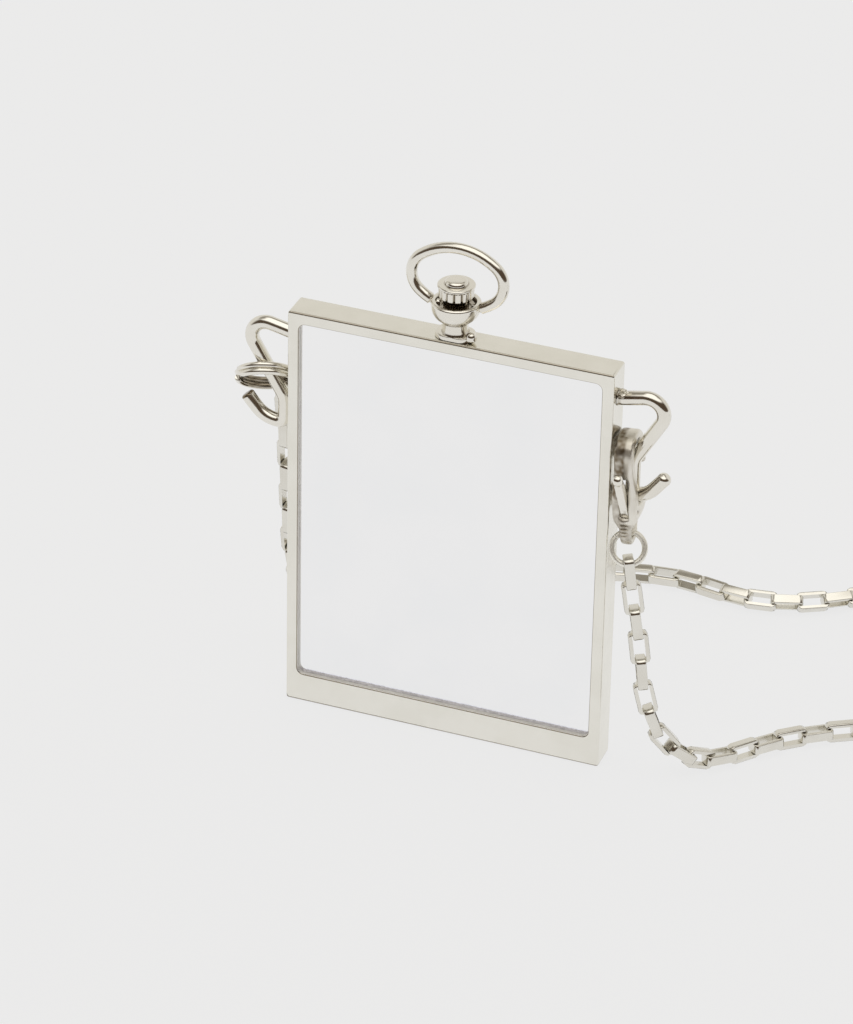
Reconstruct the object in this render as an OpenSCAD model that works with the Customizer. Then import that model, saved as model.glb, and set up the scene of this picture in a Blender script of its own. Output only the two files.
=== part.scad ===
// Mirror pendant: a flat metal case with a mirror, a watch crown and bow on top,
// a bent wire hook on each side, and a box chain between a split ring and a clasp.
// Origin: centre of the case's bottom face. X to the right, Y to the back, Z up.

/* [Case] */
// Width of the case
case_w = 37.5; // [36:0.1:39]
// Depth of the case from front to back
case_d = 3.7; // [3.5:0.1:4]
// Height of the case
case_h = 50; // [49.5:0.1:50.5]
// Width of the rim beside the mirror
rim_side = 1.3; // [1.2:0.1:1.6]
// Width of the rim above the mirror
rim_top = 1.35; // [1.3:0.05:1.6]
// Height of the plain band below the mirror
band_h = 3.55; // [3:0.05:5]
// Radius of the case's outer corners
case_corner_r = 0.3; // [0.2:0.1:1]
// Radius of the opening's corners
opening_corner_r = 0.8; // [0.6:0.1:1.5]

/* [Mirror] */
// How far the mirror lies behind the rim
mirror_inset = 0.6; // [0.4:0.1:0.8]
// Thickness of the mirror glass
mirror_t = 1.8; // [1.5:0.1:1.8]

/* [Crown] */
// Height of the bow's pivot above the case
pivot_up = 3.7; // [3.6:0.05:3.8]
// Radius of the bowl under the crown
bowl_r = 2.75; // [2.7:0.05:2.8]
// Radius of the fluted crown
crown_r = 1.95; // [1.8:0.05:2]
// Number of flutes on the crown
flutes = 14; // [12:1:18]

/* [Bow] */
// Half of the bow's width, at the middle of its wire
bow_half_w = 5.25; // [5.1:0.05:5.4]
// Half of the bow's height, at the middle of its wire
bow_half_h = 3.5; // [3.45:0.05:3.6]
// Wire of the bow
bow_wire = 1.25; // [1.1:0.05:1.3]
// How far the bow leans back at rest
bow_lean = 5.5; // [0:0.5:10]

/* [Hooks] */
// Wire of the side hooks
hook_wire = 1.55; // [1.4:0.05:1.6]

/* [Rings] */
// Radius of the split ring at the middle of its wire
split_r = 3.03; // [2.98:0.01:3.06]
// Wire of the split ring
split_wire = 0.76; // [0.7:0.02:0.78]
// Radius of the jump ring at the middle of its wire
jump_r = 1.8; // [1.74:0.02:1.84]
// Wire of the jump ring
jump_wire = 0.66; // [0.6:0.02:0.68]

/* [Clasp] */
// Thickness of the clasp's hook
clasp_t = 1.9; // [1.8:0.05:1.9]
// Thickness of the clasp across its cheeks
cheek_t = 2.5; // [2:0.05:2.5]
// Thickness of the clasp's lever
lever_t = 0.85; // [0.7:0.05:0.85]

/* [Chain] */
// Outer length of a link
link_l = 4; // [3.95:0.05:4.1]
// Outer width of a link
link_w = 2.26; // [2.2:0.02:2.3]
// Thickness of a link's two long sides
link_t = 0.34; // [0.3:0.02:0.36]
// Thickness of a link's two ends
link_end_t = 0.3; // [0.26:0.02:0.3]
// Width of a link's strip
link_b = 1.05; // [1:0.05:1.1]
// Step from link to link where the chain hangs
hang_step = 3.16; // [3.1:0.02:3.16]
// Step from link to link where the chain lies
rest_step = 3.05; // [3:0.01:3.1]

/* [Hidden] */

metal = [0.80, 0.78, 0.73];
glass = [0.90, 0.91, 0.93];
gap = 0.05;          // play round what is let into a hole
over = 0.2;          // how far a cut runs past a face
round_fn = 48;       // facets of a full round
corner_steps = 5;    // steps of a rounded corner

front_y = -case_d / 2;
side_x = case_w / 2;
recess_d = mirror_inset + mirror_t + gap;
opening_w = case_w - 2 * rim_side;
opening_h = case_h - rim_top - band_h;
pivot_z = case_h + pivot_up;

// Round metal let into the case: the neck's stem and the hooks' ends
stem_d = 1.0;
stem_l = 1.0;
root_l = 1.0;

// Neck and crown, heights above the case
foot_w = 4.4;
foot_d = 3.1;
foot_r = 1.4;
foot_t = 0.55;
neck_r = 1.5;
bowl_low = 2.1;
bowl_high = 4.0;
rim_low = 4.32;
dish = 4.2;
rim_inner_r = 2.2;
crown_hub_r = 1.55;
crown_low = 4.9;
crown_high = 6.1;
crown_cap_r = 2.08;
crown_cap_t = 0.28;
flute_depth = 0.16;
flute = [1, 0.2, 0, 0, 0, 0.2];   // depth across one groove and the pad beside it
button_r = 1.28;
button_t = 0.42;
button_dome = 0.18;
crown_stem_d = 1.0;
crown_stem_l = 1.1;

// Bead of solder beside the neck, on its foot
bead_d = 1.16;
bead_at = [2.1, -0.8, 0.65];

// Bow: its ends turn on two pins in the neck's bowl
bow_rise = 3.13;
bow_end_x = 2.7;
bow_cut_x = 2.85;
bow_pin_d = 0.8;
bow_pin_in = 1.75;
bow_pin_out = 3.2;
bow_hole_d = 0.9;
bow_hole_in = 1.6;

// Wire hooks, seen from the front: [out from the case's side, height, bend radius]
hook_root_z = 46.5;
HOOK_LEFT = [[0.4, 46.5, 1.5], [6.8, 47.85, 1.85], [0.98, 38.1, 2.5],
             [1.0, 34.95, 0.85], [3.4, 35.05, 3.3], [5.55, 37.6, 0]];
HOOK_RIGHT = [[0.4, 46.5, 1.5], [7.0, 47.9, 1.85], [2.0, 39.3, 2.5],
              [2.0, 34.85, 0.85], [3.6, 35.05, 3.3], [5.9, 38.0, 0]];
wire_sides = 16;

// Split ring on the left hook: its middle, its turn about Z and its dip to the back
split_at = [-22.3, 0.56, 39.93];
split_turn = 20.5;
split_dip = 45.5;
coil_step = 0.35;

// Clasp: the low end of its eye, and its turns about Y and Z
clasp_at = [20.85, -0.85, 29.35];
clasp_lean = -3.8;
clasp_turn = 3;
// Outline in the clasp's own plane: [towards the back, up, corner radius]
CLASP = [[1.3, 0, 1.25], [1.35, 2.5, 0.7], [3.1, 4.2, 1.4], [3.3, 5.4, 0.4],
         [2.4, 5.3, 0.4], [2.1, 4.5, 0.5], [-0.15, 4.5, 0.6], [-0.15, 12.1, 1.2],
         [3.0, 12.1, 1.3], [3.05, 8.3, 0.3], [3.85, 8.3, 0.3], [3.85, 12.95, 2.5],
         [-1.3, 12.95, 2.3], [-1.5, 8, 6], [-1.6, 4.2, 1.5], [-1.35, 2.5, 0.7],
         [-1.3, 0, 1.25]];
eye_z = 1.3;
eye_d = 1.6;
eye_t = 1.15;
// Edge of the clasp seen from the front: [half thickness, height]
clasp_edge = [[eye_t / 2, -over], [eye_t / 2, 2.1], [cheek_t / 2 - 0.05, 3.3],
              [cheek_t / 2, 4.0], [cheek_t / 2, 6.8], [clasp_t / 2, 9.4], [clasp_t / 2, 14]];
slot_w = 1.05;
slot_low = 3.4;
slot_high = 8.5;
pin_at = [-0.4, 4.2];
pin_d = 0.7;
pin_hole_d = 0.76;
lever_hole_d = 0.78;
// Lever: its gate reaches up to the mouth, and its tab stands out for the thumb
LEVER = [[-1.2, 3.5, 0.4], [1.2, 3.5, 0.7], [2.8, 4.9, 1.2], [3.0, 7.4, 2],
         [2.9, 8.9, 0.2], [2.4, 8.9, 0.2], [2.4, 7, 2], [2.1, 4.9, 0.5],
         [0.9, 4.4, 0.5], [0.1, 4.4, 0.4], [-0.4, 5.1, 0.6], [-1.3, 6.6, 2],
         [-2.9, 9.8, 0.3], [-3.8, 9.4, 0.3], [-2.6, 6.8, 2], [-1.6, 4.6, 1]];
tab_ball = [-3.4, 9.55];
tab_ball_d = 1.15;

// Jump ring through the clasp's eye: its middle, and its turns to face forward and up
jump_at = [21.12, -1.72, 29.1];
jump_tip = 59;
jump_turn = 20;

// Chain: points that its middle line passes, from the jump ring to the split ring
ROUTE = [[21.4, -2.45, 28.2], [21.9, -2.55, 24.95], [22.5, -2.45, 21.05], [23.1, -2.3, 17],
         [24, -2.55, 11.15], [25.75, -1.95, 5.95], [26.05, -1.85, 5.35], [28.55, 0.3, 2.7],
         [28.9, 1.2, 1.6], [32.85, 5.05, 1.25], [35, 7.9, 1.25], [38.5, 11.1, 1.25],
         [42.9, 14.05, 1.25], [50.3, 18, 1.25], [62, 21.5, 1.25], [80, 24.5, 1.25],
         [110, 26.5, 1.25], [150, 27.5, 1.25], [190, 27.5, 1.25], [235, 27.5, 1.25],
         [250.4, 33.5, 1.25], [256.4, 48, 1.25], [250.4, 62.5, 1.25], [235, 68.5, 1.25],
         [190, 68.5, 1.25], [150, 67.5, 1.25], [110, 65, 1.25], [80, 60.5, 1.25],
         [60, 54, 1.25], [46, 47.5, 1.25], [38, 43, 1.25], [34, 40.4, 1.25],
         [31, 38.4, 1.25], [27.5, 37.0, 1.27], [24, 36.4, 1.27], [20, 36.8, 1.27],
         [16, 37.5, 1.27], [12, 37.2, 1.27], [6, 35.6, 1.27], [-1, 32.6, 1.27],
         [-8, 28.2, 1.27], [-13.2, 23.6, 1.27], [-17.2, 19.2, 1.45], [-19.4, 15.2, 2.6],
         [-20.7, 11.5, 4.9], [-21.4, 8.8, 8.8], [-21.5, 6.5, 15], [-21.3, 5.3, 22],
         [-21.15, 4.4, 27], [-21, 3.7, 31.5], [-20.95, 3.1, 35.5],
         [-21.28, 2.6, 39.35]];
link_c = 0.5;        // cut of a link's outer corners
link_hole_c = 0.2;   // cut of its hole's corners
front_hang = 7;      // links that hang in front
back_hang = 10;      // links that hang at the back
steps = 8;           // samples from one route point to the next
first_side = [0.42, -0.91, 0];
// Twist of the chain along its length: [link, degrees]
TWIST = [[0, 0], [6, 0], [10, -22], [40, -22], [120, 37], [170, 37], [174, 60], [176, 60],
         [196, -2], [210, -2]];

function unit(v) = v / norm(v);
function turned(v, a) = [v.x * cos(a) - v.y * sin(a), v.x * sin(a) + v.y * cos(a)];
function flat(row) = [row.x, row.y];

// Points of the arc that rounds the corner p between a and b with radius r
function corner(a, p, b, r) =
    let (u = unit(a - p), v = unit(b - p), half = acos(u * v) / 2,
         c = p + unit(u + v) * r / sin(half), s = p + u * r / tan(half) - c,
         turn = sign(cross(p - a, b - p)) * (180 - 2 * half))
    r == 0 ? [p] : [for (i = [0:corner_steps]) c + turned(s, turn * i / corner_steps)];

// A closed outline, or an open path, with its corners rounded
function outline(rows) =
    let (n = len(rows))
    [for (i = [0:n - 1])
        each corner(flat(rows[(i + n - 1) % n]), flat(rows[i]), flat(rows[(i + 1) % n]),
                    rows[i][2])];
function path(rows) =
    let (n = len(rows))
    [flat(rows[0]),
     for (i = [1:n - 2])
        each corner(flat(rows[i - 1]), flat(rows[i]), flat(rows[i + 1]), rows[i][2]),
     flat(rows[n - 1])];
function box_rows(w, low, high, r) =
    [[-w / 2, low, r], [w / 2, low, r], [w / 2, high, r], [-w / 2, high, r]];

// A round wire along points of the XZ plane
module wire(points, d, sides) {
    n = len(points);
    dir = [for (i = [0:n - 1]) unit(points[min(i + 1, n - 1)] - points[max(i - 1, 0)])];
    rings = [for (i = [0:n - 1]) for (k = [0:sides - 1])
        let (a = 360 * k / sides, out = cos(a) * d / 2, side = sin(a) * d / 2)
        [points[i].x - dir[i].y * out, side, points[i].y + dir[i].x * out]];
    walls = [for (i = [0:n - 2]) for (k = [0:sides - 1])
        let (a = i * sides + k, b = i * sides + (k + 1) % sides)
        each [[a, b, b + sides], [a, b + sides, a + sides]]];
    low_end = [for (k = [sides - 1:-1:0]) k];
    high_end = [for (k = [0:sides - 1]) (n - 1) * sides + k];
    polyhedron(rings, concat([low_end, high_end], walls));
}

// A plate in the XZ plane with its front face at y
module plate(rows, y, t) {
    translate([0, y + t, 0]) rotate([90, 0, 0])
        linear_extrude(t) polygon(outline(rows));
}

module case() {
    color(metal) difference() {
        plate(box_rows(case_w, 0, case_h, case_corner_r), front_y, case_d);
        plate(box_rows(opening_w, band_h, band_h + opening_h, opening_corner_r),
              front_y - over, recess_d + over);
        translate([0, 0, case_h - stem_l - gap])
            cylinder(h = stem_l + over, d = stem_d + 2 * gap, $fn = round_fn);
        for (s = [-1, 1])
            translate([s * (side_x - root_l - gap), 0, hook_root_z]) rotate([0, s * 90, 0])
                cylinder(h = root_l + over, d = hook_wire + 2 * gap, $fn = round_fn);
    }
}

module mirror_glass() {
    w = opening_w - 2 * gap;
    r = opening_corner_r - gap;
    color(glass)
        plate(box_rows(w, band_h + gap, band_h + opening_h - gap, r),
              front_y + mirror_inset, mirror_t);
}

module neck() {
    bowl = [for (a = [0:15:90])
        [neck_r + (bowl_r - neck_r) * sin(a), bowl_high - (bowl_high - bowl_low) * cos(a)]];
    profile = concat([[0, foot_t], [neck_r, foot_t]], bowl,
                     [[bowl_r - 0.1, rim_low], [rim_inner_r, rim_low + 0.08],
                      [rim_inner_r - 0.1, dish], [0, dish]]);
    color(metal) difference() {
        union() {
            translate([0, 0, case_h]) rotate_extrude($fn = round_fn) polygon(profile);
            translate([0, 0, case_h + gap]) linear_extrude(foot_t)
                polygon(outline(box_rows(foot_w, -foot_d / 2, foot_d / 2, foot_r)));
            translate([0, 0, case_h - stem_l])
                cylinder(h = stem_l + foot_t, d = stem_d, $fn = round_fn);
            translate([0, 0, case_h] + bead_at) sphere(d = bead_d, $fn = 24);
        }
        for (s = [-1, 1])
            translate([s * bow_hole_in, 0, pivot_z]) rotate([0, s * 90, 0])
                cylinder(h = bowl_r, d = bow_hole_d, $fn = round_fn);
        translate([0, 0, case_h + dish - crown_stem_l - gap])
            cylinder(h = crown_stem_l + over, d = crown_stem_d + 2 * gap, $fn = round_fn);
    }
}

module crown() {
    fluted = [for (k = [0:flutes - 1]) for (j = [0:len(flute) - 1])
        let (a = 360 * (k + j / len(flute)) / flutes, r = crown_r - flute_depth * flute[j])
        [r * cos(a), r * sin(a)]];
    top = crown_high + crown_cap_t;
    cap = [[0, crown_high], [crown_r - 0.05, crown_high], [crown_cap_r, crown_high + 0.08],
           [crown_cap_r, top - 0.12], [crown_cap_r - 0.12, top], [button_r, top],
           [button_r, top + button_t - 0.06], [button_r - 0.08, top + button_t],
           [button_r * 0.6, top + button_t + button_dome * 0.7],
           [0, top + button_t + button_dome]];
    color(metal) translate([0, 0, case_h]) {
        translate([0, 0, dish + gap])
            cylinder(h = crown_low - dish, r = crown_hub_r, $fn = round_fn);
        translate([0, 0, dish - crown_stem_l])
            cylinder(h = crown_stem_l + over, d = crown_stem_d, $fn = round_fn);
        translate([0, 0, crown_low]) linear_extrude(crown_high - crown_low) polygon(fluted);
        rotate_extrude($fn = round_fn) polygon(cap);
    }
}

module bow() {
    first = -acos(bow_end_x / bow_half_w);
    n = 36;
    loop = [for (i = [0:n])
        let (a = first + (180 - 2 * first) * i / n)
        [bow_half_w * cos(a), bow_rise + bow_half_h * sin(a)]];
    color(metal) translate([0, 0, pivot_z]) rotate([-bow_lean, 0, 0]) {
        difference() {
            wire(loop, bow_wire, 14);
            translate([-bow_cut_x, -2, -2]) cube([2 * bow_cut_x, 4, 4]);
        }
        for (s = [-1, 1])
            rotate([0, s * 90, 0]) translate([0, 0, bow_pin_in])
                cylinder(h = bow_pin_out - bow_pin_in, d = bow_pin_d, $fn = round_fn);
    }
}

// A hook for the right side, from its end in the case out to its free end
module hook(rows) {
    color(metal) translate([side_x, 0, 0])
        wire(path(concat([[-root_l, hook_root_z, 0]], rows)), hook_wire, wire_sides);
}

module split_ring() {
    color(metal) translate(split_at) rotate([0, 0, split_turn]) rotate([-split_dip, 0, 0])
        rotate_extrude($fn = round_fn)
            for (s = [-1, 1])
                translate([split_r, s * coil_step]) circle(d = split_wire, $fn = 24);
}

module jump_ring() {
    color(metal) translate(jump_at) rotate([0, 0, jump_turn]) rotate([jump_tip, 0, 0])
        rotate_extrude($fn = round_fn) translate([jump_r, 0]) circle(d = jump_wire, $fn = 24);
}

// Stands a shape drawn in the clasp's own plane in its place
module in_clasp() {
    translate(clasp_at) rotate([0, 0, clasp_turn]) rotate([0, clasp_lean, 0])
        rotate([90, 0, 90]) children();
}

// A flat shape or a round through the clasp, centred on its plane
module slab(t) {
    translate([0, 0, -t / 2]) linear_extrude(t) children();
}
module through(at, d, t) {
    translate([at.x, at.y, -t / 2]) cylinder(h = t, d = d, $fn = 32);
}

module clasp_body() {
    edge = concat(clasp_edge, [for (k = [len(clasp_edge) - 1:-1:0])
                                   [-clasp_edge[k].x, clasp_edge[k].y]]);
    color(metal) in_clasp() difference() {
        intersection() {
            slab(2 * cheek_t) polygon(outline(CLASP));
            rotate([0, 90, 0]) translate([0, 0, -6]) linear_extrude(12)
                polygon([for (e = edge) [e.x, e.y]]);
        }
        through([0, eye_z], eye_d, 2 * cheek_t);
        through(pin_at, pin_hole_d, 2 * cheek_t);
        translate([-4, slot_low, -slot_w / 2]) cube([8, slot_high - slot_low, slot_w]);
    }
}

module clasp_pin() {
    color(metal) in_clasp() through(pin_at, pin_d, cheek_t - 0.3);
}

module clasp_lever() {
    color(metal) in_clasp() difference() {
        union() {
            slab(lever_t) polygon(outline(LEVER));
            through(tab_ball, tab_ball_d, lever_t);
        }
        through(pin_at, lever_hole_d, 2 * lever_t);
    }
}

// A rectangle with its corners cut off by c
function cut_box(l, w, c) =
    [for (s = [[1, 1], [-1, 1], [-1, -1], [1, -1]])
        let (x = s.x * l / 2, y = s.y * w / 2, a = [x - s.x * c, y], b = [x, y - s.y * c])
        each (s.x * s.y > 0 ? [b, a] : [a, b])];

// A link with its length along X and its strip's width along Z
module link() {
    out = cut_box(link_l, link_w, link_c);
    hole = cut_box(link_l - 2 * link_end_t, link_w - 2 * link_t, link_hole_c);
    translate([0, 0, -link_b / 2]) linear_extrude(link_b)
        polygon(concat(out, hole), [[0, 1, 2, 3, 4, 5, 6, 7], [8, 9, 10, 11, 12, 13, 14, 15]]);
}

// The chain's middle line as a smooth curve through the route's points
function curve(a, b, c, d, t) =
    ((2 * b) + (c - a) * t + (2 * a - 5 * b + 4 * c - d) * t * t
     + (3 * b - a - 3 * c + d) * t * t * t) / 2;
last = len(ROUTE) - 1;
line = [for (i = [0:last - 1]) for (k = [0:steps - 1])
            curve(ROUTE[max(i - 1, 0)], ROUTE[i], ROUTE[i + 1], ROUTE[min(i + 2, last)],
                  k / steps),
        ROUTE[last]];
far = [for (i = 0, s = 0; i < len(line);
            s = s + (i + 1 < len(line) ? norm(line[i + 1] - line[i]) : 0), i = i + 1) s];
along = [for (axis = [0:2]) [for (i = [0:len(line) - 1]) [far[i], line[i][axis]]]];
chain_l = far[len(far) - 1];
hung = front_hang + back_hang;
links = hung + round((chain_l - hung * hang_step) / rest_step);
lie_step = (chain_l - hung * hang_step) / (links - hung);
function run(i) =
    i <= front_hang ? i * hang_step
    : i >= links - back_hang ? chain_l - (links - i) * hang_step
    : front_hang * hang_step + (i - front_hang) * lie_step;
function joint(i) = [for (axis = [0:2]) lookup(run(i), along[axis])];
function across(v, d) = unit(v - d * (v * d));
heading = [for (i = [0:links - 1]) unit(joint(i + 1) - joint(i))];
side = [for (i = 0, v = across(first_side, heading[0]); i < links;
             i = i + 1, v = i < links ? across(v, heading[i]) : v) v];

module chain(from, to) {
    for (i = [from:to]) {
        d = heading[i];
        t = lookup(i, TWIST);
        e = side[i] * cos(t) + cross(d, side[i]) * sin(t);
        a = i % 2 == 0 ? cross(d, e) : e;
        b = cross(a, d);
        c = (joint(i) + joint(i + 1)) / 2;
        multmatrix([[d.x, b.x, a.x, c.x], [d.y, b.y, a.y, c.y], [d.z, b.z, a.z, c.z],
                    [0, 0, 0, 1]])
            link();
    }
}
half = floor(links / 2);

case();
mirror_glass();  // mirror
neck();
crown();
bow();
mirror([1, 0, 0]) hook(HOOK_LEFT);  // hook_left
hook(HOOK_RIGHT);  // hook_right
split_ring();
clasp_body();
clasp_pin();
clasp_lever();
jump_ring();
color(metal) chain(0, half - 1);  // chain_front
color(metal) chain(half, links - 1);  // chain_back
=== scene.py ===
# %% [markdown]
# # A mirror pendant on a box chain
# The pendant is a flat metal case with a small mirror in it. A watch crown and its bow
# sit on top, a bent wire hook sticks out on each side, and a box chain runs from a split
# ring on the left hook to a lobster clasp on the right one. The solids of all these pieces
# are already in place and at their real size. This lesson gives them the rounded edges,
# the wire ends, the coils and the metal that the real ones have.
#
# Everything is in metres. X goes to the right, Y to the back and Z up. Sizes are written
# in millimetres and multiplied by MM.

# %% Load the solids
import math

import bpy
import numpy as np
from mathutils import Matrix, Vector
from mathutils import noise as blotch


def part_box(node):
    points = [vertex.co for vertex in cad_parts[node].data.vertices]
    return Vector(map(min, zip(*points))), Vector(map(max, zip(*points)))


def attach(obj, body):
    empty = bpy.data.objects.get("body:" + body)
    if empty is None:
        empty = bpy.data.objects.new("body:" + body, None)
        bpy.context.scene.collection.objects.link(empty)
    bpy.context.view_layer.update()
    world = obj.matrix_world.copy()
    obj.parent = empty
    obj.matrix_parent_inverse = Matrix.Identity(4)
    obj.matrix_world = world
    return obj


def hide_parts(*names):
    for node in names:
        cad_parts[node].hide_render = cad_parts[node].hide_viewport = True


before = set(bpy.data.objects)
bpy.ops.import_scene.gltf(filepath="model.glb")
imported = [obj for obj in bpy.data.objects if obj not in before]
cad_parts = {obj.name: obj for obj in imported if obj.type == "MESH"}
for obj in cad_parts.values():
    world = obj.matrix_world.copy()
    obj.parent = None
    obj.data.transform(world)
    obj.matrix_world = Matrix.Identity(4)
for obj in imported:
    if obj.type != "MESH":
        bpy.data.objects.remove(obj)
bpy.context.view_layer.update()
MM = 0.001

# %% [markdown]
# ## The camera
# A product photo like this one is taken from far away with a long lens, so that upright
# edges stay nearly parallel. The camera stands to the right of the pendant, looks down at
# about 31 degrees, and is rolled by a little more than one degree. Its axes are written
# down directly, because a rolled camera is hard to give by two angles.

# %% Place the camera
LENS = 175.8
CAMERA_AT = (0.15999, -0.44292, 0.31151)
camera_data = bpy.data.cameras.new("camera")
camera_data.sensor_width = 36
camera_data.lens = LENS
camera_data.clip_start = 0.01
camera_data.clip_end = 20
camera = bpy.data.objects.new("camera", camera_data)
bpy.context.scene.collection.objects.link(camera)
right = Vector((0.93462, 0.35520, 0.01794))
up = Vector((-0.19774, 0.47704, 0.85635))
turn = Matrix((right, up, right.cross(up))).transposed().to_4x4()
camera.matrix_world = Matrix.Translation(CAMERA_AT) @ turn
bpy.context.scene.camera = camera
bpy.context.scene.view_settings.view_transform = "Standard"
print("camera", round(camera.location.length / MM), "mm from the case")

# %% [markdown]
# ## The studio
# Polished metal shows its surroundings more than its own colour. In a studio these are a
# pale table, a pale wall behind it with a dim ceiling over it, a wide white lamp above
# the camera, and the dark room below that lamp. The dark room gives each wire its brown
# line. The world is painted in that way: its colour depends only on the direction that is
# looked in. Camera rays see a plain pale world, as beyond the table.

# %% Paint the world
CAMERA_SIDE = (0.342, -0.940, 0.0)
world = bpy.data.worlds.new("studio")
bpy.context.scene.world = world
world.use_nodes = True


def shader_node(tree, kind, **values):
    """A new shader node with the given properties and inputs."""
    made = tree.nodes.new(kind)
    for name, value in values.items():
        if name in made.inputs:
            made.inputs[name].default_value = value
        else:
            setattr(made, name, value)
    return made


def ramp(tree, stops):
    """A colour ramp with stops of (position, colour)."""
    made = tree.nodes.new("ShaderNodeValToRGB")
    made.color_ramp.interpolation = "EASE"
    for i, (position, colour) in enumerate(stops):
        if i > 1:
            made.color_ramp.elements.new(position)
        made.color_ramp.elements[i].position = position
        made.color_ramp.elements[i].color = (*colour, 1)
    return made


TABLE = (0.82, 0.82, 0.81)
DARK = (0.085, 0.060, 0.040)
WALL = (0.77, 0.75, 0.70)
GREY = (0.30, 0.275, 0.23)
LAMP = (1.30, 1.27, 1.20)
BACKDROP = (0.84, 0.84, 0.84)

tree = world.node_tree
tree.nodes.clear()
look = shader_node(tree, "ShaderNodeTexCoord")
axes = shader_node(tree, "ShaderNodeSeparateXYZ")
height = shader_node(tree, "ShaderNodeMapRange")
height.inputs["From Min"].default_value = -1
camera_side = ramp(tree, [(0.49, TABLE), (0.52, DARK), (0.79, DARK), (0.90, LAMP)])
wall_side = ramp(tree, [(0.49, TABLE), (0.52, WALL), (0.78, WALL), (0.88, GREY),
                        (0.93, GREY), (0.985, LAMP)])
facing = shader_node(tree, "ShaderNodeVectorMath", operation="DOT_PRODUCT")
facing.inputs[1].default_value = CAMERA_SIDE
side = shader_node(tree, "ShaderNodeMapRange", interpolation_type="SMOOTHSTEP")
side.inputs["From Min"].default_value = -0.2
side.inputs["From Max"].default_value = 0.3
room = shader_node(tree, "ShaderNodeMix", data_type="RGBA")
seen = shader_node(tree, "ShaderNodeLightPath")
shown = shader_node(tree, "ShaderNodeMix", data_type="RGBA")
light = shader_node(tree, "ShaderNodeBackground")
out = shader_node(tree, "ShaderNodeOutputWorld")
shown.inputs[7].default_value = (*BACKDROP, 1)
for a, b in [(look.outputs["Generated"], axes.inputs[0]),
             (look.outputs["Generated"], facing.inputs[0]),
             (axes.outputs["Z"], height.inputs["Value"]),
             (height.outputs["Result"], camera_side.inputs[0]),
             (height.outputs["Result"], wall_side.inputs[0]),
             (facing.outputs["Value"], side.inputs["Value"]),
             (side.outputs["Result"], room.inputs[0]),
             (wall_side.outputs["Color"], room.inputs[6]),
             (camera_side.outputs["Color"], room.inputs[7]),
             (seen.outputs["Is Camera Ray"], shown.inputs[0]),
             (room.outputs[2], shown.inputs[6]),
             (shown.outputs[2], light.inputs["Color"]),
             (light.outputs["Background"], out.inputs["Surface"])]:
    tree.links.new(a, b)
print("world nodes:", len(tree.nodes))

# %% [markdown]
# ## The table
# The photo has been cleaned, so that the table is one even pale grey with hardly a
# shadow on it. Most of the table's brightness here is its own glow, and a small share
# is painted by the lamp, which leaves a faint shadow where metal touches it.

# %% Lay the table
OWN_GLOW = (0.755, 0.755, 0.757)
LIT_SHARE = (0.11, 0.11, 0.11)
bpy.ops.object.select_all(action="DESELECT")
bpy.ops.mesh.primitive_plane_add(size=6, location=(0, 0, 0))
table = bpy.context.object
table.name = "table"
paper = bpy.data.materials.new("table paper")
paper.use_nodes = True
tree = paper.node_tree
tree.nodes.clear()
glow = shader_node(tree, "ShaderNodeEmission", Strength=1.0)
glow.inputs["Color"].default_value = (*OWN_GLOW, 1)
matt = shader_node(tree, "ShaderNodeBsdfDiffuse")
matt.inputs["Color"].default_value = (*LIT_SHARE, 1)
both = shader_node(tree, "ShaderNodeAddShader")
out = shader_node(tree, "ShaderNodeOutputMaterial")
for a, b in [(glow.outputs[0], both.inputs[0]), (matt.outputs[0], both.inputs[1]),
             (both.outputs[0], out.inputs["Surface"])]:
    tree.links.new(a, b)
table.data.materials.append(paper)
print("table", table.dimensions.x, "m wide")

# %% [markdown]
# ## The metals
# All the metal is plated in the same pale, slightly warm silver tone. What differs is the
# polish: the case is satin, the wires and the crown are bright, the chain is in between,
# the clasp is duller, and the jump ring is nearly matt. The walls of the case's opening
# are blasted and hardly shine, so their shader is only a quarter metallic.
#
# No plating is perfectly even. Its tone and its gloss vary a little over a few
# millimetres, and fine ripples bend what it reflects. Four noises do this, all read in
# Object coordinates, so that they stay on the metal when a piece moves. Brown is mixed in
# as well: some real patina in the crown's flutes and on solder, and mostly painted shade
# and painted dark reflection in corners, creases and edges. The amount of brown at each
# point is kept in an attribute of the mesh, which every metal reads.

# %% A helper for plated metal
def noise(tree, place, scale, detail, stretch=(1, 1, 1)):
    """A noise of the given scale per metre, stretched along the axes."""
    fit = shader_node(tree, "ShaderNodeMapping")
    fit.inputs["Scale"].default_value = stretch
    made = shader_node(tree, "ShaderNodeTexNoise", Scale=scale, Detail=detail)
    tree.links.new(place.outputs["Object"], fit.inputs["Vector"])
    tree.links.new(fit.outputs["Vector"], made.inputs["Vector"])
    return made


# The brown mixed into every metal by the mesh's attribute: some real patina, mostly painted
# shade and painted dark reflection.
BROWN = (0.21, 0.165, 0.11)


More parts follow.
